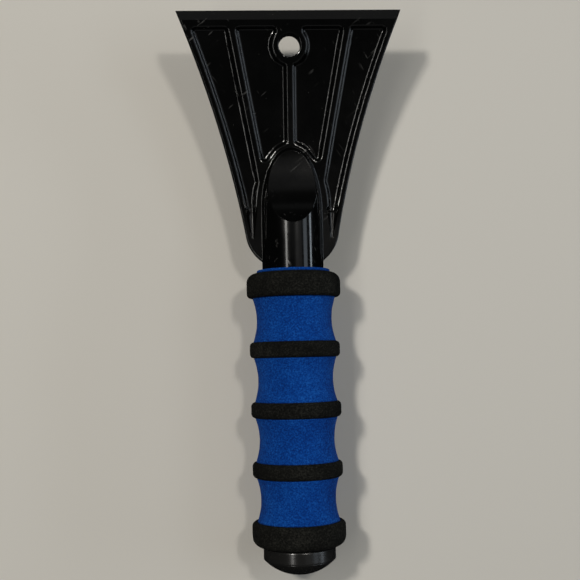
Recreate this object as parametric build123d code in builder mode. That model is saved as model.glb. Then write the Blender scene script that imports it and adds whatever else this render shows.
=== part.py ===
"""Windshield ice scraper: a moulded head and handle tube, a laminated foam grip and an end cap.

Frame: X across the blade, +Y along the handle towards the blade, +Z up, ribbed side up, resting on the grip.
The origin is at the bottom centre of the bounding box. Stations are distances in front of the grip's front face.
"""
import math
import os

from build123d import *

os.makedirs("parts", exist_ok=True)

# Overall stations along the handle, in millimetres from the grip's front face
BLADE_EDGE = 117.2
GRIP_LENGTH = 126.4
CAP_BAND = 6.4
CAP_DOME = 6.9
BUTT = -(GRIP_LENGTH + CAP_BAND + CAP_DOME)
GRIP_FRONT_Y = -(BLADE_EDGE + BUTT) / 2
CAP_FRONT = -GRIP_LENGTH
CAP_REAR = CAP_FRONT - CAP_BAND

# Foam grip: a thin collar, then end rings, middle rings and the waisted sections between them
COLLAR_RADIUS = 17.0
COLLAR_LENGTH = 1.4
COLLAR_ROUND = 0.6
END_RING_RADIUS = 21.85
END_RING_LENGTH = 11.5
END_RING_OUTER_ROUND = 4.5
END_RING_INNER_ROUND = 2.0
MID_RING_RADIUS = 21.05
MID_RING_LENGTH = 7.4
MID_RING_ROUND = 2.0
MID_RING_COUNT = 3
WAIST_COUNT = MID_RING_COUNT + 1
WAIST_LENGTH = (GRIP_LENGTH - 2 * END_RING_LENGTH - MID_RING_COUNT * MID_RING_LENGTH) / WAIST_COUNT
WAIST_RADIUS = 17.5
WAIST_END_RADIUS = 19.3

# Handle tube and its nose
AXIS_Z = END_RING_RADIUS
TUBE_RADIUS = 14.2
TUBE_WALL = 3.0
BORE_RADIUS = TUBE_RADIUS - TUBE_WALL
NOSE_START = 30.0
NOSE_LENGTH = 30.0
NOSE_FOOT_ROUND = 0.5

# Curved plate: one sheet bent up in an arc, tangent to the tube axis near its tail
PLATE_TANGENT = 10.0
PLATE_ARC_RADIUS = 367.0
CREST_RISE = 3.0
FLOOR_RISE = 0.3
UNDERSIDE_DROP = 2.6
BEVEL_LENGTH = 5.2
EDGE_THICKNESS = 0.9

# Plan outline of the plate
BLADE_HALF = 50.8
CLEAR_HEIGHT = 100.0
RADIUS_MATCH = 0.001
SIDE_CURVE_RADIUS = 475.0
TAIL_SIDE = (21.6, 18.4)
TAIL_MIDDLE = (17.2, 8.3)
TAIL_END = (13.2, 4.9)
OUTLINE_ROUND = 0.5

# Pockets and the ribs left between them
RIM_WIDTH = 3.3
FRONT_WALL = 109.0
CENTRE_RIB_WIDTH = 4.2
SIDE_RIB_WIDTH = 4.3
SIDE_RIB_FRONT = (26.0, 109.0)
SIDE_RIB_REAR = (15.0, 49.5)
RIB_OVERRUN = 22.0
ARCH_HALF = 17.4
ARCH_SPRING = 31.0
ARCH_SIDE_RADIUS = 37.5
ARCH_SIDE_ANGLE = 42.0
POCKET_CORNER = 1.4
RIB_CORNER = 2.0
CREST_ROUND = 1.2
FLOOR_ROUND = 1.2
GROOVE_TIP = (18.3, 15.9)
GROOVE_MOUTH = (18.9, 30.0)
GROOVE_LENGTH = GROOVE_MOUTH[1] - GROOVE_TIP[1]
# Tip radius, mouth radius, and heights of the axis above the crest there: the channel, then its bevelled lips
GROOVE_CUTS = ((0.5, 2.8, 0.0, 0.0), (1.1, 4.4, 0.8, 3.0))

# Hang hole in its boss, upright like the draw of the mould
HOLE_STATION = 101.6
HOLE_RADIUS = 4.9
BOSS_RADIUS = 8.4
HOLE_ROUND = 0.5

# Ejector-pin marks on the pocket floors: side, station and radius
EJECTOR_MARKS = ((-33.6, 101.4, 3.0), (33.6, 101.4, 3.0), (-23.3, 58.0, 1.9))
EJECTOR_DEPTH = 0.2

# Thumb dish: a shallow arc cut straight across the top of the nose
DISH_STATION = 48.7
DISH_RISE = 60.2
DISH_RADIUS = 53.2
DISH_ROUND = 0.4

# Bore: it runs on under the dish, one wall away from the dish and the nose
BORE_NOSE_START = 28.0
BORE_NOSE_LENGTH = 26.0

# End cap with a hollow plug
CAP_RADIUS = 16.75
CAP_DOME_RADIUS = 16.0
CAP_SKIRT = 0.3
CAP_CROWN_RISE = CAP_DOME - CAP_SKIRT
CAP_CROWN_RADIUS = (CAP_DOME_RADIUS**2 + CAP_CROWN_RISE**2) / (2 * CAP_CROWN_RISE)
CAP_FRONT_ROUND = 1.4
CAP_REAR_ROUND = 0.7
PLUG_LENGTH = 22.0
PLUG_WALL = 2.2
PLUG_CHAMFER = 1.0
CAP_CORE_DEPTH = 2.0


def y_at(station):
    """Y of a station measured in front of the grip's front face."""
    return GRIP_FRONT_Y + station


def plate_z(station, rise=0.0):
    """Height of the plate's mid arc at a station, or of the surface a given rise above it."""
    run = station - PLATE_TANGENT
    radius = PLATE_ARC_RADIUS - rise
    return AXIS_Z + PLATE_ARC_RADIUS - math.sqrt(radius**2 - run**2)


def plate_normal_plane(x, station, rise):
    """Plane on a surface of the plate, facing along the plate's local normal."""
    slope = math.asin((station - PLATE_TANGENT) / (PLATE_ARC_RADIUS - rise))
    origin = (x, y_at(station), plate_z(station, rise))
    return Plane(origin=origin, x_dir=(1, 0, 0), z_dir=(0, -math.sin(slope), math.cos(slope)))


def groove_plane(side, tip_lift, mouth_lift):
    """Plane at the tip of a tail groove, facing its mouth, each end lifted above the crest."""
    tip = Vector(side * GROOVE_TIP[0], *side_point(GROOVE_TIP[1], CREST_RISE + tip_lift))
    mouth = Vector(side * GROOVE_MOUTH[0], *side_point(GROOVE_MOUTH[1], CREST_RISE + mouth_lift))
    return Plane(origin=tip, x_dir=(0, 0, 1), z_dir=mouth - tip)


def round_faces(part, radius):
    """The cylindrical faces of a part that have a given radius."""
    curved = part.faces().filter_by(GeomType.CYLINDER)
    return curved.filter_by(lambda face: abs((face.radius or 0) - radius) < RADIUS_MATCH)


def plate_faces(part, rise):
    """The faces of a part that lie on the plate's surface at a rise above its mid arc."""
    return round_faces(part, PLATE_ARC_RADIUS - rise)


def side_point(station, rise):
    """Point of the side view, as (y, z), on a surface of the plate."""
    return (y_at(station), plate_z(station, rise))


def axis_point(station, radius):
    """Point of the side view, as (y, z), at a radius above the handle axis."""
    return (y_at(station), AXIS_Z + radius)


def plan_point(x, station):
    """Point of the plan view."""
    return (x, y_at(station))


def foam_ring(front, length, radius, front_round, rear_round):
    """A foam ring around the tube, its two outer corners rounded."""
    with BuildPart() as ring:
        with BuildSketch(Plane.YZ) as section:
            with Locations(axis_point(front, TUBE_RADIUS)):
                Rectangle(length, radius - TUBE_RADIUS, align=(Align.MAX, Align.MIN))
            fillet(section.vertices().group_by(Axis.X)[-1].sort_by(Axis.Y)[-1], front_round)
            fillet(section.vertices().group_by(Axis.X)[0].sort_by(Axis.Y)[-1], rear_round)
        revolve(axis=HANDLE_AXIS)
    return ring.part


def foam_waist(front):
    """A foam section around the tube, narrow in the middle and flared to its end faces."""
    rear = front - WAIST_LENGTH
    with BuildPart() as waist:
        with BuildSketch(Plane.YZ):
            with BuildLine():
                inner = Line(axis_point(front, TUBE_RADIUS), axis_point(rear, TUBE_RADIUS))
                rear_face = Line(inner @ 1, axis_point(rear, WAIST_END_RADIUS))
                front_face = Line(inner @ 0, axis_point(front, WAIST_END_RADIUS))
                ThreePointArc(rear_face @ 1, axis_point((front + rear) / 2, WAIST_RADIUS), front_face @ 1)
            make_face()
        revolve(axis=HANDLE_AXIS)
    return waist.part


HANDLE_AXIS = Axis((0, 0, AXIS_Z), (0, 1, 0))
DISH_CENTRE = (0, *axis_point(DISH_STATION, DISH_RISE))
ALONG_X = (0, 90, 0)

# ---------------------------------------------------------------- pocket cutters
side_rib_run = Vector(*SIDE_RIB_FRONT) - Vector(*SIDE_RIB_REAR)
side_rib_middle = (Vector(*SIDE_RIB_FRONT) + Vector(*SIDE_RIB_REAR)) * 0.5
side_rib_angle = math.degrees(math.atan2(side_rib_run.Y, side_rib_run.X))
arch_top_x = ARCH_HALF - ARCH_SIDE_RADIUS * (1 - math.cos(math.radians(ARCH_SIDE_ANGLE)))
arch_top_radius = arch_top_x / math.cos(math.radians(ARCH_SIDE_ANGLE))

with BuildSketch() as plate_outline:
    with BuildLine():
        blade = Line(plan_point(0, BLADE_EDGE), plan_point(BLADE_HALF, BLADE_EDGE))
        side = RadiusArc(blade @ 1, plan_point(*TAIL_SIDE), -SIDE_CURVE_RADIUS)
        tail = ThreePointArc(side @ 1, plan_point(*TAIL_MIDDLE), plan_point(*TAIL_END))
        Polyline(tail @ 1, plan_point(0, TAIL_END[1]), blade @ 0)
    make_face()
    mirror(about=Plane.YZ)

with BuildSketch() as arch_field:
    with BuildLine():
        foot = Line(plan_point(0, 0), plan_point(ARCH_HALF, 0))
        leg = Line(foot @ 1, plan_point(ARCH_HALF, ARCH_SPRING))
        shoulder = JernArc(leg @ 1, (0, 1), ARCH_SIDE_RADIUS, ARCH_SIDE_ANGLE)
        crown = JernArc(shoulder @ 1, shoulder % 1, arch_top_radius, 90 - ARCH_SIDE_ANGLE)
        Line(crown @ 1, foot @ 0)
    make_face()
    mirror(about=Plane.YZ)

with BuildSketch() as pocket_field:
    add(plate_outline.sketch)
    offset(amount=-RIM_WIDTH, kind=Kind.INTERSECTION)
    with Locations(plan_point(0, FRONT_WALL)):
        Rectangle(2 * BLADE_HALF, BLADE_EDGE, align=(Align.CENTER, Align.MIN), mode=Mode.SUBTRACT)
    add(arch_field.sketch, mode=Mode.SUBTRACT)
    with Locations(plan_point(0, HOLE_STATION)):
        Circle(BOSS_RADIUS, mode=Mode.SUBTRACT)
        Rectangle(CENTRE_RIB_WIDTH, BLADE_EDGE, mode=Mode.SUBTRACT)
    for mirror_side in (-1, 1):
        with Locations(plan_point(mirror_side * side_rib_middle.X, side_rib_middle.Y)):
            Rectangle(
                side_rib_run.length + RIB_OVERRUN,
                SIDE_RIB_WIDTH,
                rotation=90 - mirror_side * (90 - side_rib_angle),
                mode=Mode.SUBTRACT,
            )

with BuildSketch() as rounded_pockets:
    for pocket in pocket_field.faces():
        opened = offset(pocket, amount=-POCKET_CORNER, mode=Mode.PRIVATE)
        closed = offset(opened, amount=POCKET_CORNER + RIB_CORNER, mode=Mode.PRIVATE)
        add(offset(closed, amount=-RIB_CORNER, mode=Mode.PRIVATE))

with BuildPart() as pocket_cutter:
    with BuildSketch(Plane.YZ):
        with BuildLine():
            rear = Line(side_point(0, FLOOR_RISE), (y_at(0), CLEAR_HEIGHT))
            lid = Line(rear @ 1, (y_at(BLADE_EDGE), CLEAR_HEIGHT))
            front = Line(lid @ 1, side_point(BLADE_EDGE, FLOOR_RISE))
            ThreePointArc(front @ 1, side_point(BLADE_EDGE / 2, FLOOR_RISE), rear @ 0)
        make_face()
    extrude(amount=BLADE_HALF, both=True)
    add(rounded_pockets.sketch)
    extrude(amount=CLEAR_HEIGHT, mode=Mode.INTERSECT)

# ---------------------------------------------------------------- bore cutter
with BuildPart() as bore_cutter:
    with BuildSketch(Plane.YZ):
        with BuildLine():
            mouth = Line(axis_point(-GRIP_LENGTH, 0), axis_point(-GRIP_LENGTH, BORE_RADIUS))
            wall = Line(mouth @ 1, axis_point(BORE_NOSE_START, BORE_RADIUS))
            EllipticalCenterArc(axis_point(BORE_NOSE_START, 0), BORE_NOSE_LENGTH, BORE_RADIUS, arc_size=90)
            Line(axis_point(BORE_NOSE_START + BORE_NOSE_LENGTH, 0), mouth @ 0)
        make_face()
    revolve(axis=HANDLE_AXIS)
    with Locations(DISH_CENTRE):
        Cylinder(DISH_RADIUS + TUBE_WALL, 2 * TUBE_RADIUS, rotation=ALONG_X, mode=Mode.SUBTRACT)

# ---------------------------------------------------------------- head and handle tube, one moulding
with BuildPart() as scraper_head:
    with BuildSketch(Plane.YZ):
        with BuildLine():
            crest = ThreePointArc(
                side_point(0, CREST_RISE),
                side_point(BLADE_EDGE / 2, CREST_RISE),
                side_point(BLADE_EDGE - BEVEL_LENGTH, CREST_RISE),
            )
            bevel = Line(crest @ 1, side_point(BLADE_EDGE, EDGE_THICKNESS - UNDERSIDE_DROP))
            edge = Line(bevel @ 1, side_point(BLADE_EDGE, -UNDERSIDE_DROP))
            under = ThreePointArc(
                edge @ 1, side_point(BLADE_EDGE / 2, -UNDERSIDE_DROP), side_point(0, -UNDERSIDE_DROP)
            )
            Line(under @ 1, crest @ 0)
        make_face()
    extrude(amount=BLADE_HALF, both=True)
    add(plate_outline.sketch)
    extrude(amount=CLEAR_HEIGHT, mode=Mode.INTERSECT)
    add(pocket_cutter.part, mode=Mode.SUBTRACT)
    crest_face = plate_faces(scraper_head.part, CREST_RISE)[0]
    fillet([edge for rim in crest_face.inner_wires() for edge in rim.edges()], CREST_ROUND)
    fillet(plate_faces(scraper_head.part, FLOOR_RISE).edges(), FLOOR_ROUND)
    for tip_radius, mouth_radius, *lifts in GROOVE_CUTS:
        with Locations(groove_plane(-1, *lifts), groove_plane(1, *lifts)):
            Cone(
                tip_radius,
                mouth_radius,
                GROOVE_LENGTH,
                align=(Align.CENTER, Align.CENTER, Align.MIN),
                mode=Mode.SUBTRACT,
            )
    broad_faces = plate_faces(scraper_head.part, CREST_RISE) + plate_faces(scraper_head.part, -UNDERSIDE_DROP)
    outline_wires = [face.outer_wire() for face in broad_faces]
    outline_edges = [edge for wire in outline_wires for edge in wire.edges()]
    fillet([edge for edge in outline_edges if edge.geom_type == GeomType.BSPLINE], OUTLINE_ROUND)
    with BuildSketch(Plane.YZ):
        with BuildLine():
            butt = Line(axis_point(-GRIP_LENGTH, 0), axis_point(-GRIP_LENGTH, TUBE_RADIUS))
            skin = Line(butt @ 1, axis_point(NOSE_START, TUBE_RADIUS))
            EllipticalCenterArc(axis_point(NOSE_START, 0), NOSE_LENGTH, TUBE_RADIUS, arc_size=90)
            Line(axis_point(NOSE_START + NOSE_LENGTH, 0), butt @ 0)
        make_face()
    revolve(axis=HANDLE_AXIS)
    crest_edges = plate_faces(scraper_head.part, CREST_RISE).edges()
    fillet([edge for edge in scraper_head.edges(Select.LAST) if edge in crest_edges], NOSE_FOOT_ROUND)
    with Locations(DISH_CENTRE):
        Cylinder(DISH_RADIUS, 2 * TUBE_RADIUS, rotation=ALONG_X, mode=Mode.SUBTRACT)
    fillet(scraper_head.edges(Select.LAST).filter_by(GeomType.BSPLINE), DISH_ROUND)
    add(bore_cutter.part, mode=Mode.SUBTRACT)
    for x, station, radius in EJECTOR_MARKS:
        with BuildSketch(plate_normal_plane(x, station, FLOOR_RISE - EJECTOR_DEPTH)):
            Circle(radius)
        extrude(amount=2 * EJECTOR_DEPTH, mode=Mode.SUBTRACT)
    with BuildSketch():
        with Locations(plan_point(0, HOLE_STATION)):
            Circle(HOLE_RADIUS)
    extrude(amount=CLEAR_HEIGHT, mode=Mode.SUBTRACT)
    hole_wall = round_faces(scraper_head.part, HOLE_RADIUS)
    fillet(hole_wall.edges().filter_by(GeomType.LINE, reverse=True), HOLE_ROUND)

scraper_head.part.label = "scraper_head"

# ---------------------------------------------------------------- end cap with its plug, one moulding
with BuildPart() as end_cap:
    with BuildSketch(Plane.YZ):
        with Locations(axis_point(CAP_FRONT, 0)):
            plug = Rectangle(PLUG_LENGTH, BORE_RADIUS, align=(Align.MIN, Align.MIN))
        chamfer(plug.vertices().group_by(Axis.X)[-1].sort_by(Axis.Y)[-1], PLUG_CHAMFER)
    revolve(axis=HANDLE_AXIS)
    with BuildSketch(Plane.YZ) as band:
        with Locations(axis_point(CAP_FRONT, 0)):
            Rectangle(CAP_BAND, CAP_RADIUS, align=(Align.MAX, Align.MIN))
        fillet(band.vertices().group_by(Axis.X)[-1].sort_by(Axis.Y)[-1], CAP_FRONT_ROUND)
        fillet(band.vertices().group_by(Axis.X)[0].sort_by(Axis.Y)[-1], CAP_REAR_ROUND)
    revolve(axis=HANDLE_AXIS)
    with BuildSketch(Plane.YZ):
        with BuildLine():
            root = Line(axis_point(CAP_REAR, 0), axis_point(CAP_REAR, CAP_DOME_RADIUS))
            skirt = Line(root @ 1, axis_point(CAP_REAR - CAP_SKIRT, CAP_DOME_RADIUS))
            RadiusArc(skirt @ 1, axis_point(BUTT, 0), -CAP_CROWN_RADIUS)
            Line(axis_point(BUTT, 0), root @ 0)
        make_face()
    revolve(axis=HANDLE_AXIS)
    with BuildSketch(Plane.YZ):
        with Locations(axis_point(CAP_REAR - CAP_CORE_DEPTH, 0)):
            Rectangle(CLEAR_HEIGHT, BORE_RADIUS - PLUG_WALL, align=(Align.MIN, Align.MIN))
    revolve(axis=HANDLE_AXIS, mode=Mode.SUBTRACT)

end_cap.part.label = "end_cap"
export_step(scraper_head.part, "parts/scraper_head.step")
export_step(end_cap.part, "parts/end_cap.step")

# ---------------------------------------------------------------- foam laminations, front to rear
laminations = {
    "foam_front_collar": foam_ring(
        COLLAR_LENGTH, COLLAR_LENGTH, COLLAR_RADIUS, COLLAR_ROUND, COLLAR_ROUND
    ),
    "foam_end_ring_front": foam_ring(
        0, END_RING_LENGTH, END_RING_RADIUS, END_RING_OUTER_ROUND, END_RING_INNER_ROUND
    ),
}
lamination_front = -END_RING_LENGTH
for number in range(1, WAIST_COUNT + 1):
    laminations[f"foam_waist_{number}"] = foam_waist(lamination_front)
    lamination_front -= WAIST_LENGTH
    if number <= MID_RING_COUNT:
        laminations[f"foam_mid_ring_{number}"] = foam_ring(
            lamination_front, MID_RING_LENGTH, MID_RING_RADIUS, MID_RING_ROUND, MID_RING_ROUND
        )
        lamination_front -= MID_RING_LENGTH
laminations["foam_end_ring_rear"] = foam_ring(
    lamination_front, END_RING_LENGTH, END_RING_RADIUS, END_RING_INNER_ROUND, END_RING_OUTER_ROUND
)

for name, lamination in laminations.items():
    lamination.label = name
    export_step(lamination, f"parts/{name}.step")
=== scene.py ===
"""Looks of the windshield ice scraper: moulded black plastic and a laminated foam grip, on a pale floor.

Lengths are in metres, the camera's lens and sensor in millimetres, and named angles in degrees.
"""

import math

import bmesh
import bpy
from mathutils import Euler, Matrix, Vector, noise


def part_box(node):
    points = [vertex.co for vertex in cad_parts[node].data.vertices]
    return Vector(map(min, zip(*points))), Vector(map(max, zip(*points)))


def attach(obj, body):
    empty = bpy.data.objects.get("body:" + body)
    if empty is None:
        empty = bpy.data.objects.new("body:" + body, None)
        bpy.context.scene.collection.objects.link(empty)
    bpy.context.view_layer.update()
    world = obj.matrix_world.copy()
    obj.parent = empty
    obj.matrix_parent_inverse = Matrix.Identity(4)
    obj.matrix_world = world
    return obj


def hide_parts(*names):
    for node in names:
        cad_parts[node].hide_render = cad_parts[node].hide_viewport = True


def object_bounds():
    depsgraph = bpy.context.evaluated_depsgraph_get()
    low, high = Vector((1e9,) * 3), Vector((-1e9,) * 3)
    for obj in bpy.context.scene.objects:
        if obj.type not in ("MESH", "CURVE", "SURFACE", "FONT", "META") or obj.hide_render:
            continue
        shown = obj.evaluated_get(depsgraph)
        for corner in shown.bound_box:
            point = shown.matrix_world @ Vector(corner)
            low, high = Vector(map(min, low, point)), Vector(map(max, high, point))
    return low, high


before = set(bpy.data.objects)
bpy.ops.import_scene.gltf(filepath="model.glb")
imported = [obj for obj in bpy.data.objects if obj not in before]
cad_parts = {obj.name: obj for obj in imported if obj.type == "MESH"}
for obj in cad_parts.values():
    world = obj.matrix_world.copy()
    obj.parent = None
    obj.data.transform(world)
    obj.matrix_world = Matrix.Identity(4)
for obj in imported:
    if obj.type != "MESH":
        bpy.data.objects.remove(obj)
cad_low, cad_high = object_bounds()
scene = bpy.context.scene

# ---------------------------------------------------------------- frame facts
BODY = "root"
HEAD = "scraper_head"
CAP = "end_cap"
COLLAR = "foam_front_collar"
END_RING_FRONT = "foam_end_ring_front"
END_RING_REAR = "foam_end_ring_rear"
MID_RINGS = ("foam_mid_ring_1", "foam_mid_ring_2", "foam_mid_ring_3")
WAISTS = ("foam_waist_1", "foam_waist_2", "foam_waist_3", "foam_waist_4")

ring_low, ring_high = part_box(END_RING_FRONT)
AXIS_Z = (ring_low.z + ring_high.z) / 2
TUBE_RADIUS = AXIS_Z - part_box(HEAD)[0].z


# ---------------------------------------------------------------- node helpers
def new_material(name):
    """An empty node material: (material, its nodes, its links, its Principled shader)."""
    material = bpy.data.materials.new(name)
    material.use_nodes = True
    nodes, links = material.node_tree.nodes, material.node_tree.links
    return material, nodes, links, nodes["Principled BSDF"]


def add_mapping(nodes, links, coords, scale, turn):
    """Coordinates turned about Z and then stretched, for marks that run one way."""
    mapping = nodes.new("ShaderNodeMapping")
    mapping.vector_type = "TEXTURE"
    mapping.inputs["Scale"].default_value = scale
    mapping.inputs["Rotation"].default_value = (0, 0, math.radians(turn))
    links.new(coords, mapping.inputs["Vector"])
    return mapping.outputs["Vector"]


def add_noise(nodes, links, coords, scale, detail=1, rough=0.4):
    """A noise texture. Returns its value socket."""
    texture = nodes.new("ShaderNodeTexNoise")
    texture.inputs["Scale"].default_value = scale
    texture.inputs["Detail"].default_value = detail
    texture.inputs["Roughness"].default_value = rough
    links.new(coords, texture.inputs["Vector"])
    return texture.outputs["Fac"]


def add_range(nodes, links, value, low, high, to_low=0.0, to_high=1.0):
    """Remaps a value socket from low..high to to_low..to_high, clamped."""
    remap = nodes.new("ShaderNodeMapRange")
    remap.inputs["From Min"].default_value = low
    remap.inputs["From Max"].default_value = high
    remap.inputs["To Min"].default_value = to_low
    remap.inputs["To Max"].default_value = to_high
    links.new(value, remap.inputs["Value"])
    return remap.outputs["Result"]


def add_ramp(nodes, links, value, stops):
    """A colour ramp over a value socket. stops is a list of (position, colour)."""
    ramp = nodes.new("ShaderNodeValToRGB")
    elements = ramp.color_ramp.elements
    while len(elements) < len(stops):
        elements.new(0.5)  # every stop gets its place below
    for element, (position, colour) in zip(elements, stops):
        element.position = position
        element.color = (*colour, 1.0)
    links.new(value, ramp.inputs["Fac"])
    return ramp.outputs["Color"]


def add_math(nodes, links, operation, first, second):
    """A math node on two sockets or numbers. Returns its value socket."""
    node = nodes.new("ShaderNodeMath")
    node.operation = operation
    for socket, operand in zip(node.inputs, (first, second)):
        if isinstance(operand, (int, float)):
            socket.default_value = operand
        else:
            links.new(operand, socket)
    return node.outputs["Value"]


def add_bump(nodes, links, height, distance, strength, under=None):
    """A bump node of a real height in metres, over another normal where given."""
    bump = nodes.new("ShaderNodeBump")
    bump.inputs["Distance"].default_value = distance
    bump.inputs["Strength"].default_value = strength
    links.new(height, bump.inputs["Height"])
    if under is not None:
        links.new(under, bump.inputs["Normal"])
    return bump.outputs["Normal"]


# ---------------------------------------------------------------- surface marks
# texture scales, in features per metre
SMEAR_SCALE = 45
SCRATCH_SCALE = 700
PATCH_SCALE = 60
FLOW_SCALE = 22
GRAIN_SCALE = 1800
CELL_SCALE = 1500
SPECKLE_SCALE = 1300
CLOUD_SCALE = 70

# the part of each noise's range over which its effect grows from none to full
SMEAR_SPAN = (0.35, 0.7)
SCRATCH_SPAN = (0.7, 0.77)
PATCH_SPAN = (0.46, 0.62)

SCRATCH_TURNS = (35, -50)
SCRATCH_STRETCH = (1, 20, 1)
# scale, speck radius in cells and share of the cells with a speck, for coarse and fine dust
DUST = ((150, 0.035, 0.35), (420, 0.07, 0.25))
SPECK_CORE = 0.5
MARK_ROUGHNESS = 0.5


def add_specks(nodes, links, coords, scale, size, share):
    """Scattered round specks, 1 inside and 0 outside: one in a share of the cells of a grid."""
    cells = nodes.new("ShaderNodeTexVoronoi")
    cells.inputs["Scale"].default_value = scale
    links.new(coords, cells.inputs["Vector"])
    near = add_range(nodes, links, cells.outputs["Distance"], SPECK_CORE * size, size, 1.0, 0.0)
    pick = add_math(nodes, links, "LESS_THAN", cells.outputs["Color"], share)
    return add_math(nodes, links, "MULTIPLY", near, pick)


def add_scratches(nodes, links, coords, turn):
    """Fine scratches along one direction, shown in patches: 1 on a scratch and 0 off it."""
    fibres = add_mapping(nodes, links, coords, SCRATCH_STRETCH, turn)
    line = add_noise(nodes, links, fibres, SCRATCH_SCALE)
    patch = add_noise(nodes, links, coords, PATCH_SCALE)
    thin = add_range(nodes, links, line, *SCRATCH_SPAN)
    shown = add_range(nodes, links, patch, *PATCH_SPAN)
    return add_math(nodes, links, "MULTIPLY", thin, shown)


def add_wear(nodes, links, coords, strength):
    """Scratches both ways and dust specks, from 0 to a given strength."""
    scratches = [add_scratches(nodes, links, coords, turn) for turn in SCRATCH_TURNS]
    lines = add_math(nodes, links, "MAXIMUM", *scratches)
    dust = [add_specks(nodes, links, coords, *facts) for facts in DUST]
    specks = add_math(nodes, links, "MAXIMUM", *dust)
    marks = add_math(nodes, links, "MAXIMUM", lines, specks)
    return add_math(nodes, links, "MULTIPLY", marks, strength)


# ---------------------------------------------------------------- materials
# bump heights in metres, with their strengths
FLOW_BUMP = (0.0004, 0.15)
GRAIN_BUMP = (0.00001, 0.3)
PORE_BUMP = (0.0002, 0.6)
SPECKLE_BUMP = (0.0002, 0.7)

FOAM_ROUGHNESS = 0.95
FOAM_SPECULAR = 0.12
FOAM_STOPS = (0.5, 0.68, 0.88)
CLOUD_SHARE = 0.35


def plastic(name, colour, dust_colour, roughness, wear):
    """Moulded plastic with flow waves, smears, scratches and dust. roughness is (low, high)."""
    material, nodes, links, shader = new_material(name)
    coords = nodes.new("ShaderNodeTexCoord").outputs["Object"]
    smear = add_noise(nodes, links, coords, SMEAR_SCALE, detail=4, rough=0.6)
    marks = add_wear(nodes, links, coords, wear)
    tint = add_ramp(nodes, links, marks, [(0.0, colour), (1.0, dust_colour)])
    links.new(tint, shader.inputs["Base Color"])
    gloss = add_range(nodes, links, smear, *SMEAR_SPAN, *roughness)
    dulling = add_math(nodes, links, "MULTIPLY", marks, MARK_ROUGHNESS)
    links.new(add_math(nodes, links, "ADD", gloss, dulling), shader.inputs["Roughness"])
    wave = add_noise(nodes, links, coords, FLOW_SCALE)
    flow = add_bump(nodes, links, wave, *FLOW_BUMP)
    grain = add_noise(nodes, links, coords, GRAIN_SCALE, rough=0.5)
    links.new(add_bump(nodes, links, grain, *GRAIN_BUMP, under=flow), shader.inputs["Normal"])
    return material


def foam(name, dark, base, light):
    """Closed-cell foam, cut and ground: fine speckle of cell walls, soft nap and open pores."""
    material, nodes, links, shader = new_material(name)
    coords = nodes.new("ShaderNodeTexCoord").outputs["Object"]
    shader.inputs["Roughness"].default_value = FOAM_ROUGHNESS
    shader.inputs["Specular IOR Level"].default_value = FOAM_SPECULAR
    cells = nodes.new("ShaderNodeTexVoronoi")
    cells.inputs["Scale"].default_value = CELL_SCALE
    links.new(coords, cells.inputs["Vector"])
    speckle = add_noise(nodes, links, coords, SPECKLE_SCALE, detail=3, rough=0.65)
    cloud = add_noise(nodes, links, coords, CLOUD_SCALE, detail=3, rough=0.6)
    clouding = add_math(nodes, links, "MULTIPLY", cloud, CLOUD_SHARE)
    mixed = add_math(nodes, links, "ADD", clouding, speckle)
    tint = add_ramp(nodes, links, mixed, list(zip(FOAM_STOPS, (dark, base, light))))
    links.new(tint, shader.inputs["Base Color"])
    pores = add_bump(nodes, links, cells.outputs["Distance"], *PORE_BUMP)
    links.new(add_bump(nodes, links, speckle, *SPECKLE_BUMP, under=pores), shader.inputs["Normal"])
    return material


HEAD_PLASTIC = plastic(
    "head_gloss_plastic",
    colour=(0.0012, 0.0013, 0.0013),
    dust_colour=(0.05, 0.05, 0.048),
    roughness=(0.1, 0.17),
    wear=0.6,
)
CAP_PLASTIC = plastic(
    "cap_satin_plastic",
    colour=(0.012, 0.012, 0.0115),
    dust_colour=(0.08, 0.08, 0.076),
    roughness=(0.22, 0.34),
    wear=0.5,
)
BLACK_FOAM = foam(
    "black_foam",
    dark=(0.0018, 0.0018, 0.0015),
    base=(0.0055, 0.0057, 0.0048),
    light=(0.022, 0.022, 0.0185),
)
BLUE_FOAM = foam(
    "blue_foam",
    dark=(0.0002, 0.022, 0.15),
    base=(0.0006, 0.045, 0.26),
    light=(0.008, 0.1, 0.42),
)

for node, material in ((HEAD, HEAD_PLASTIC), (CAP, CAP_PLASTIC)):
    for material_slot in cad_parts[node].material_slots:
        material_slot.material = material

# ---------------------------------------------------------------- foam laminations
TURNS = 192
NAP = 0.00014
NAP_FINE_SCALE = 420
NAP_COARSE_SCALE = 70
NAP_SHARE = 0.5
# how much of the nap a point of an outline takes: none where it is glued, all of it on the skin
GLUED = 0
SKIN = 1
QUARTER_TURN = 90
OUTER_ROUND = 0.0045
INNER_ROUND = 0.002
COLLAR_ROUND = 0.0006
ROUND_STEPS = 7
FLANK_STEPS = 14
WAIST_DEPTH = 0.0018
WAIST_STEPS = 30


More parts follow.
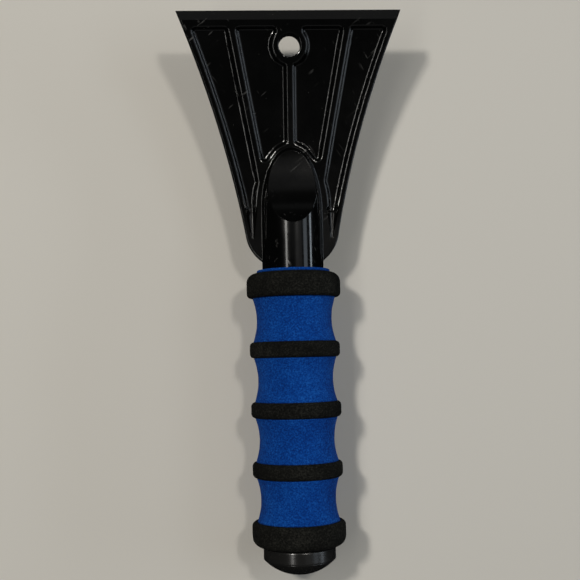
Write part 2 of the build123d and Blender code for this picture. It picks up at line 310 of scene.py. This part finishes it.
def lathe(name, profile, seed):
    """A closed ring lathed about the handle axis from (y, radius, nap) points.

    Its skin is softened by a nap of noise, read seed metres along X so that each ring has its own.
    """
    mesh = bmesh.new()
    rows = []
    for turn in range(TURNS):
        angle = 2 * math.pi * turn / TURNS
        across, up = math.cos(angle), math.sin(angle)
        row = []
        for y, radius, nap in profile:
            spot = Vector((radius * across + seed, y, radius * up))
            fine = NAP_SHARE * noise.noise(spot * NAP_FINE_SCALE)
            coarse = NAP_SHARE * noise.noise(spot * NAP_COARSE_SCALE)
            rough = 1 + fine + coarse
            r = radius - nap * NAP * rough
            row.append(mesh.verts.new((r * across, y, AXIS_Z + r * up)))
        rows.append(row)
    for turn in range(TURNS):
        here, there = rows[turn], rows[(turn + 1) % TURNS]
        for i in range(len(profile)):
            j = (i + 1) % len(profile)
            mesh.faces.new((here[i], there[i], there[j], here[j]))
    bmesh.ops.recalc_face_normals(mesh, faces=mesh.faces)
    data = bpy.data.meshes.new(name)
    mesh.to_mesh(data)
    mesh.free()
    data.polygons.foreach_set("use_smooth", [True] * len(data.polygons))
    piece = bpy.data.objects.new(name, data)
    scene.collection.objects.link(piece)
    return piece


def corner(y, radius, rounding, start):
    """Points round a quarter corner about a centre inside the ring, going down from start degrees."""
    points = []
    for step in range(ROUND_STEPS + 1):
        angle = math.radians(start - QUARTER_TURN * step / ROUND_STEPS)
        points.append((y + rounding * math.sin(angle), radius + rounding * math.cos(angle), SKIN))
    return points


def ring_profile(low_y, high_y, radius, front_round, rear_round):
    """Outline of a disc: bore, two flat faces, two rounded corners and a straight rim."""
    rim_front, rim_rear = high_y - front_round, low_y + rear_round
    points = [(high_y, TUBE_RADIUS, GLUED)]
    points += corner(rim_front, radius - front_round, front_round, QUARTER_TURN)
    for step in range(1, FLANK_STEPS):
        points.append((rim_front + (rim_rear - rim_front) * step / FLANK_STEPS, radius, SKIN))
    points += corner(rim_rear, radius - rear_round, rear_round, 0)
    points.append((low_y, TUBE_RADIUS, GLUED))
    return points


def waist_profile(low_y, high_y, radius):
    """Outline of a waisted section: bore, two end faces and a rim that dips in the middle."""
    points = [(high_y, TUBE_RADIUS, GLUED)]
    for step in range(WAIST_STEPS + 1):
        across = 2 * step / WAIST_STEPS - 1
        y = (high_y + low_y) / 2 - across * (high_y - low_y) / 2
        points.append((y, radius - WAIST_DEPTH * (1 - across**2), SKIN))
    points.append((low_y, TUBE_RADIUS, GLUED))
    return points


def add_lamination(node, profile, seed, material):
    """A foam piece in place of its CAD node."""
    piece = lathe(node + "_foam", profile, seed)
    piece.data.materials.append(material)
    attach(piece, BODY)
    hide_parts(node)
    return piece


# node, front rounding, rear rounding, material, record slot
RINGS = [
    (COLLAR, COLLAR_ROUND, COLLAR_ROUND, BLUE_FOAM, "blue_foam"),
    (END_RING_FRONT, OUTER_ROUND, INNER_ROUND, BLACK_FOAM, "black_foam"),
    (END_RING_REAR, INNER_ROUND, OUTER_ROUND, BLACK_FOAM, "black_foam"),
]
RINGS += [(node, INNER_ROUND, INNER_ROUND, BLACK_FOAM, "black_foam") for node in MID_RINGS]

for seed, (node, front_round, rear_round, material, slot_name) in enumerate(RINGS):
    low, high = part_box(node)
    profile = ring_profile(low.y, high.y, (high.z - low.z) / 2, front_round, rear_round)
    add_lamination(node, profile, seed, material)
for seed, node in enumerate(WAISTS, len(RINGS)):
    low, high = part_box(node)
    profile = waist_profile(low.y, high.y, (high.z - low.z) / 2)
    add_lamination(node, profile, seed, BLUE_FOAM)

# ---------------------------------------------------------------- camera
CAMERA_PLACE = (-0.0272, -0.0278, 0.48819)
CAMERA_TURN = (-0.008, -3.045, -1.389)
CAMERA_LENS = 62.4
CAMERA_SENSOR = 36
CAMERA_SHIFT = 0.1184
CAMERA_CLIP = 0.01
camera_data = bpy.data.cameras.new("camera")
camera_data.lens = CAMERA_LENS
camera_data.sensor_width = CAMERA_SENSOR
camera_data.shift_y = CAMERA_SHIFT
camera_data.clip_start = CAMERA_CLIP
camera = bpy.data.objects.new("camera", camera_data)
camera.location = CAMERA_PLACE
camera.rotation_euler = Euler([math.radians(angle) for angle in CAMERA_TURN])
scene.collection.objects.link(camera)
scene.camera = camera

# ---------------------------------------------------------------- floor
FLOOR_SIZE = 6
FLOOR_COLOUR = (0.64, 0.62, 0.57, 1)
FLOOR_ROUGHNESS = 0.9
bpy.ops.mesh.primitive_plane_add(size=FLOOR_SIZE, location=(0, 0, cad_low.z))
floor = bpy.context.object
floor.name = "floor"
floor_material, _, _, floor_shader = new_material("floor_pale")
floor_shader.inputs["Base Color"].default_value = FLOOR_COLOUR
floor_shader.inputs["Roughness"].default_value = FLOOR_ROUGHNESS
floor.data.materials.append(floor_material)
floor.visible_glossy = False  # keeps the floor out of the plastic's reflections

# ---------------------------------------------------------------- lights
# name, place from the handle axis, width, height, radiance, colour
LIGHTS = (
    ("lamp_left", (-0.68, 0.44, 1.38), 0.14, 0.14, 152, (1.0, 0.96, 0.9)),
    ("lamp_right", (0.41, 0.47, 1.47), 0.14, 0.14, 76, (1.0, 0.96, 0.9)),
    ("strip_left", (-0.68, 0.0, 1.38), 1.4, 0.16, 5.5, (1.0, 0.98, 0.94)),
    ("window_high", (1.15, 0.1, 1.05), 1.2, 0.4, 1.5, (0.8, 0.9, 1.0)),
    ("window_low", (1.45, 0.1, 0.5), 1.2, 0.16, 5.8, (0.8, 0.9, 1.0)),
    ("ceiling", (-0.1, -0.1, 1.6), 2.0, 1.4, 0.008, (1.0, 1.0, 1.0)),
    ("ceiling_right", (0.65, 0.1, 1.55), 2.0, 0.75, 0.14, (1.0, 1.0, 1.0)),
    ("ceiling_front", (0.1, 0.6, 1.6), 2.0, 0.92, 0.085, (1.0, 1.0, 1.0)),
    ("front_strip", (0.1, 1.12, 0.9), 2.0, 0.13, 0.08, (1.0, 1.0, 1.0)),
    ("wall_rear", (0.0, -1.4, 0.8), 2.2, 1.2, 0.15, (1.0, 1.0, 0.98)),
    ("wall_front", (0.0, 1.6, 0.18), 2.2, 0.3, 0.12, (1.0, 1.0, 0.98)),
)


def area_light(name, place, width, height, radiance, colour):
    """A rectangular light facing the handle, its power worked out from the radiance it shows."""
    data = bpy.data.lights.new(name, "AREA")
    data.shape = "RECTANGLE"
    data.size = width
    data.size_y = height
    data.energy = radiance * math.pi * width * height
    data.color = colour
    light = bpy.data.objects.new(name, data)
    light.location = Vector((0, 0, AXIS_Z)) + Vector(place)
    light.rotation_euler = Vector(place).to_track_quat("Z", "Y").to_euler()
    scene.collection.objects.link(light)


for light_facts in LIGHTS:
    area_light(*light_facts)

WORLD_COLOUR = (0.95, 0.97, 1.0, 1)
WORLD_STRENGTH = 0.006
world = bpy.data.worlds.new("studio")
world.use_nodes = True
background = world.node_tree.nodes["Background"]
background.inputs["Color"].default_value = WORLD_COLOUR
background.inputs["Strength"].default_value = WORLD_STRENGTH
scene.world = world
scene.view_settings.view_transform = "Standard"
